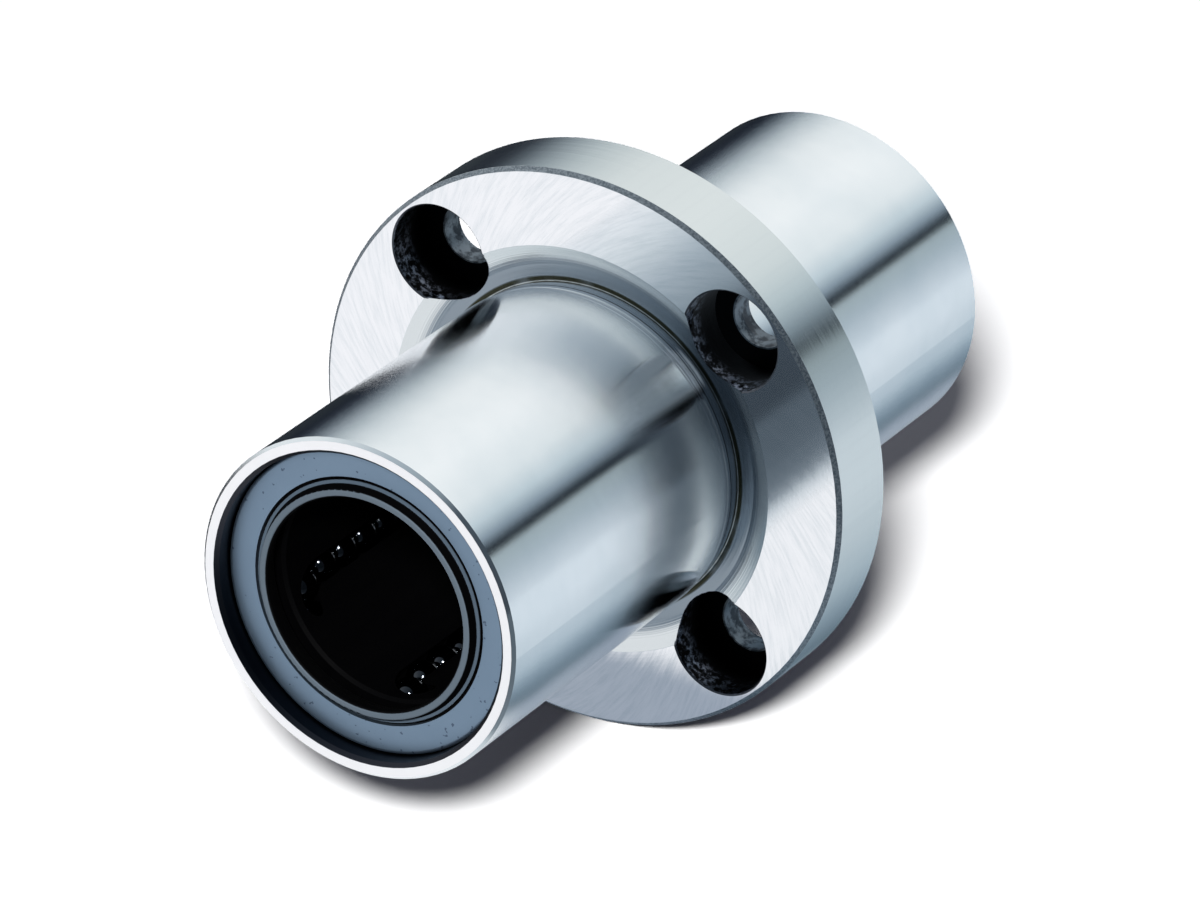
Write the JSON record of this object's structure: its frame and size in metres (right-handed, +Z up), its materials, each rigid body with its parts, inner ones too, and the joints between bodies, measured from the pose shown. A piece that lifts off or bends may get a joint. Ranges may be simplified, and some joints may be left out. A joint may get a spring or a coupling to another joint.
{
  "type": "linear ball bearing",
  "caption": "Flanged linear ball bearing: a steel sleeve with a round mid flange guides a round shaft on rows of recirculating balls.",
  "frame": {"origin": "middle of the bearing on the shaft axis, half way along the sleeve and through the flange", "axes": "+Y along the shaft axis from the counterbored side of the flange to its plain side, +Z up with the four holes between the axes, +X to the right seen from the counterbored side"},
  "size_m": [0.054, 0.08, 0.054],
  "materials": {
    "bearing_steel": "ground and polished hardened steel",
    "seal_case": "satin blue-grey coated steel",
    "seal_rubber": "black nitrile rubber",
    "ring_steel": "dark spring steel",
    "cage_polymer": "black moulded acetal",
    "ball_steel": "mirror-polished bearing steel"
  },
  "bodies": {
    "housing": {"flanged_sleeve": "bearing_steel", "front_seal_case": "seal_case", "front_seal_lip": "seal_rubber", "front_retaining_ring": "ring_steel", "front_cage": "cage_polymer", "rear_seal_case": "seal_case", "rear_seal_lip": "seal_rubber", "rear_retaining_ring": "ring_steel", "rear_cage": "cage_polymer"},
    "front_load_rows": {"front_load_row_1": "ball_steel", "front_load_row_2": "ball_steel", "front_load_row_3": "ball_steel", "front_load_row_4": "ball_steel", "front_load_row_5": "ball_steel"},
    "front_return_rows": {"front_return_row_1": "ball_steel", "front_return_row_2": "ball_steel", "front_return_row_3": "ball_steel", "front_return_row_4": "ball_steel", "front_return_row_5": "ball_steel"},
    "front_outer_turn_1_pair": {"front_outer_turn_1": "ball_steel"},
    "front_outer_turn_2_pair": {"front_outer_turn_2": "ball_steel"},
    "front_outer_turn_3_pair": {"front_outer_turn_3": "ball_steel"},
    "front_outer_turn_4_pair": {"front_outer_turn_4": "ball_steel"},
    "front_outer_turn_5_pair": {"front_outer_turn_5": "ball_steel"},
    "front_inner_turn_1_pair": {"front_inner_turn_1": "ball_steel"},
    "front_inner_turn_2_pair": {"front_inner_turn_2": "ball_steel"},
    "front_inner_turn_3_pair": {"front_inner_turn_3": "ball_steel"},
    "front_inner_turn_4_pair": {"front_inner_turn_4": "ball_steel"},
    "front_inner_turn_5_pair": {"front_inner_turn_5": "ball_steel"},
    "rear_load_rows": {"rear_load_row_1": "ball_steel", "rear_load_row_2": "ball_steel", "rear_load_row_3": "ball_steel", "rear_load_row_4": "ball_steel", "rear_load_row_5": "ball_steel"},
    "rear_return_rows": {"rear_return_row_1": "ball_steel", "rear_return_row_2": "ball_steel", "rear_return_row_3": "ball_steel", "rear_return_row_4": "ball_steel", "rear_return_row_5": "ball_steel"},
    "rear_outer_turn_1_pair": {"rear_outer_turn_1": "ball_steel"},
    "rear_outer_turn_2_pair": {"rear_outer_turn_2": "ball_steel"},
    "rear_outer_turn_3_pair": {"rear_outer_turn_3": "ball_steel"},
    "rear_outer_turn_4_pair": {"rear_outer_turn_4": "ball_steel"},
    "rear_outer_turn_5_pair": {"rear_outer_turn_5": "ball_steel"},
    "rear_inner_turn_1_pair": {"rear_inner_turn_1": "ball_steel"},
    "rear_inner_turn_2_pair": {"rear_inner_turn_2": "ball_steel"},
    "rear_inner_turn_3_pair": {"rear_inner_turn_3": "ball_steel"},
    "rear_inner_turn_4_pair": {"rear_inner_turn_4": "ball_steel"},
    "rear_inner_turn_5_pair": {"rear_inner_turn_5": "ball_steel"}
  },
  "joints": [
    {"name": "front_load_rows_travel", "type": "slide", "parent": "housing", "child": "front_load_rows", "axis": [0, 1, 0], "range_m": [-0.00162, 0.00162]},
    {"name": "front_return_rows_travel", "type": "slide", "parent": "housing", "child": "front_return_rows", "axis": [0, 1, 0], "range_m": [-0.00162, 0.00162]},
    {"name": "front_outer_turn_1_swing", "type": "hinge", "parent": "housing", "child": "front_outer_turn_1_pair", "pos_m": [0.00228, -0.03078, -0.01161], "axis": [0, 0, -1], "range_deg": [-45, 45]},
    {"name": "front_outer_turn_2_swing", "type": "hinge", "parent": "housing", "child": "front_outer_turn_2_pair", "pos_m": [0.01174, -0.03078, -0.00142], "axis": [0.9511, 0, -0.309], "range_deg": [-45, 45]},
    {"name": "front_outer_turn_3_swing", "type": "hinge", "parent": "housing", "child": "front_outer_turn_3_pair", "pos_m": [0.00498, -0.03078, 0.01073], "axis": [0.5878, 0, 0.809], "range_deg": [-45, 45]},
    {"name": "front_outer_turn_4_swing", "type": "hinge", "parent": "housing", "child": "front_outer_turn_4_pair", "pos_m": [-0.00867, -0.03078, 0.00805], "axis": [-0.5878, 0, 0.809], "range_deg": [-45, 45]},
    {"name": "front_outer_turn_5_swing", "type": "hinge", "parent": "housing", "child": "front_outer_turn_5_pair", "pos_m": [-0.01033, -0.03078, -0.00576], "axis": [-0.9511, 0, -0.309], "range_deg": [-45, 45]},
    {"name": "front_inner_turn_1_swing", "type": "hinge", "parent": "housing", "child": "front_inner_turn_1_pair", "pos_m": [0.00228, -0.00492, -0.01161], "axis": [0, 0, -1], "range_deg": [-45, 45]},
    {"name": "front_inner_turn_2_swing", "type": "hinge", "parent": "housing", "child": "front_inner_turn_2_pair", "pos_m": [0.01174, -0.00492, -0.00142], "axis": [0.9511, 0, -0.309], "range_deg": [-45, 45]},
    {"name": "front_inner_turn_3_swing", "type": "hinge", "parent": "housing", "child": "front_inner_turn_3_pair", "pos_m": [0.00498, -0.00492, 0.01073], "axis": [0.5878, 0, 0.809], "range_deg": [-45, 45]},
    {"name": "front_inner_turn_4_swing", "type": "hinge", "parent": "housing", "child": "front_inner_turn_4_pair", "pos_m": [-0.00867, -0.00492, 0.00805], "axis": [-0.5878, 0, 0.809], "range_deg": [-45, 45]},
    {"name": "front_inner_turn_5_swing", "type": "hinge", "parent": "housing", "child": "front_inner_turn_5_pair", "pos_m": [-0.01033, -0.00492, -0.00576], "axis": [-0.9511, 0, -0.309], "range_deg": [-45, 45]},
    {"name": "rear_load_rows_travel", "type": "slide", "parent": "housing", "child": "rear_load_rows", "axis": [0, 1, 0], "range_m": [-0.00162, 0.00162]},
    {"name": "rear_return_rows_travel", "type": "slide", "parent": "housing", "child": "rear_return_rows", "axis": [0, 1, 0], "range_m": [-0.00162, 0.00162]},
    {"name": "rear_outer_turn_1_swing", "type": "hinge", "parent": "housing", "child": "rear_outer_turn_1_pair", "pos_m": [-0.00228, 0.03078, -0.01161], "axis": [0, 0, -1], "range_deg": [-45, 45]},
    {"name": "rear_outer_turn_2_swing", "type": "hinge", "parent": "housing", "child": "rear_outer_turn_2_pair", "pos_m": [0.01033, 0.03078, -0.00576], "axis": [0.9511, 0, -0.309], "range_deg": [-45, 45]},
    {"name": "rear_outer_turn_3_swing", "type": "hinge", "parent": "housing", "child": "rear_outer_turn_3_pair", "pos_m": [0.00867, 0.03078, 0.00805], "axis": [0.5878, 0, 0.809], "range_deg": [-45, 45]},
    {"name": "rear_outer_turn_4_swing", "type": "hinge", "parent": "housing", "child": "rear_outer_turn_4_pair", "pos_m": [-0.00498, 0.03078, 0.01073], "axis": [-0.5878, 0, 0.809], "range_deg": [-45, 45]},
    {"name": "rear_outer_turn_5_swing", "type": "hinge", "parent": "housing", "child": "rear_outer_turn_5_pair", "pos_m": [-0.01174, 0.03078, -0.00142], "axis": [-0.9511, 0, -0.309], "range_deg": [-45, 45]},
    {"name": "rear_inner_turn_1_swing", "type": "hinge", "parent": "housing", "child": "rear_inner_turn_1_pair", "pos_m": [-0.00228, 0.00492, -0.01161], "axis": [0, 0, -1], "range_deg": [-45, 45]},
    {"name": "rear_inner_turn_2_swing", "type": "hinge", "parent": "housing", "child": "rear_inner_turn_2_pair", "pos_m": [0.01033, 0.00492, -0.00576], "axis": [0.9511, 0, -0.309], "range_deg": [-45, 45]},
    {"name": "rear_inner_turn_3_swing", "type": "hinge", "parent": "housing", "child": "rear_inner_turn_3_pair", "pos_m": [0.00867, 0.00492, 0.00805], "axis": [0.5878, 0, 0.809], "range_deg": [-45, 45]},
    {"name": "rear_inner_turn_4_swing", "type": "hinge", "parent": "housing", "child": "rear_inner_turn_4_pair", "pos_m": [-0.00498, 0.00492, 0.01073], "axis": [-0.5878, 0, 0.809], "range_deg": [-45, 45]},
    {"name": "rear_inner_turn_5_swing", "type": "hinge", "parent": "housing", "child": "rear_inner_turn_5_pair", "pos_m": [-0.01174, 0.00492, -0.00142], "axis": [-0.9511, 0, -0.309], "range_deg": [-45, 45]}
  ],
  "couplings": [
    {"joint": "front_return_rows_travel", "follows": "front_load_rows_travel", "ratio": -1},
    {"joint": "front_outer_turn_1_swing", "follows": "front_load_rows_travel", "rad_per_m": 485.86},
    {"joint": "front_outer_turn_2_swing", "follows": "front_load_rows_travel", "rad_per_m": 485.86},
    {"joint": "front_outer_turn_3_swing", "follows": "front_load_rows_travel", "rad_per_m": 485.86},
    {"joint": "front_outer_turn_4_swing", "follows": "front_load_rows_travel", "rad_per_m": 485.86},
    {"joint": "front_outer_turn_5_swing", "follows": "front_load_rows_travel", "rad_per_m": 485.86},
    {"joint": "front_inner_turn_1_swing", "follows": "front_load_rows_travel", "rad_per_m": 485.86},
    {"joint": "front_inner_turn_2_swing", "follows": "front_load_rows_travel", "rad_per_m": 485.86},
    {"joint": "front_inner_turn_3_swing", "follows": "front_load_rows_travel", "rad_per_m": 485.86},
    {"joint": "front_inner_turn_4_swing", "follows": "front_load_rows_travel", "rad_per_m": 485.86},
    {"joint": "front_inner_turn_5_swing", "follows": "front_load_rows_travel", "rad_per_m": 485.86},
    {"joint": "rear_load_rows_travel", "follows": "front_load_rows_travel", "ratio": 1},
    {"joint": "rear_return_rows_travel", "follows": "front_load_rows_travel", "ratio": -1},
    {"joint": "rear_outer_turn_1_swing", "follows": "front_load_rows_travel", "rad_per_m": -485.86},
    {"joint": "rear_outer_turn_2_swing", "follows": "front_load_rows_travel", "rad_per_m": -485.86},
    {"joint": "rear_outer_turn_3_swing", "follows": "front_load_rows_travel", "rad_per_m": -485.86},
    {"joint": "rear_outer_turn_4_swing", "follows": "front_load_rows_travel", "rad_per_m": -485.86},
    {"joint": "rear_outer_turn_5_swing", "follows": "front_load_rows_travel", "rad_per_m": -485.86},
    {"joint": "rear_inner_turn_1_swing", "follows": "front_load_rows_travel", "rad_per_m": -485.86},
    {"joint": "rear_inner_turn_2_swing", "follows": "front_load_rows_travel", "rad_per_m": -485.86},
    {"joint": "rear_inner_turn_3_swing", "follows": "front_load_rows_travel", "rad_per_m": -485.86},
    {"joint": "rear_inner_turn_4_swing", "follows": "front_load_rows_travel", "rad_per_m": -485.86},
    {"joint": "rear_inner_turn_5_swing", "follows": "front_load_rows_travel", "rad_per_m": -485.86}
  ]
}
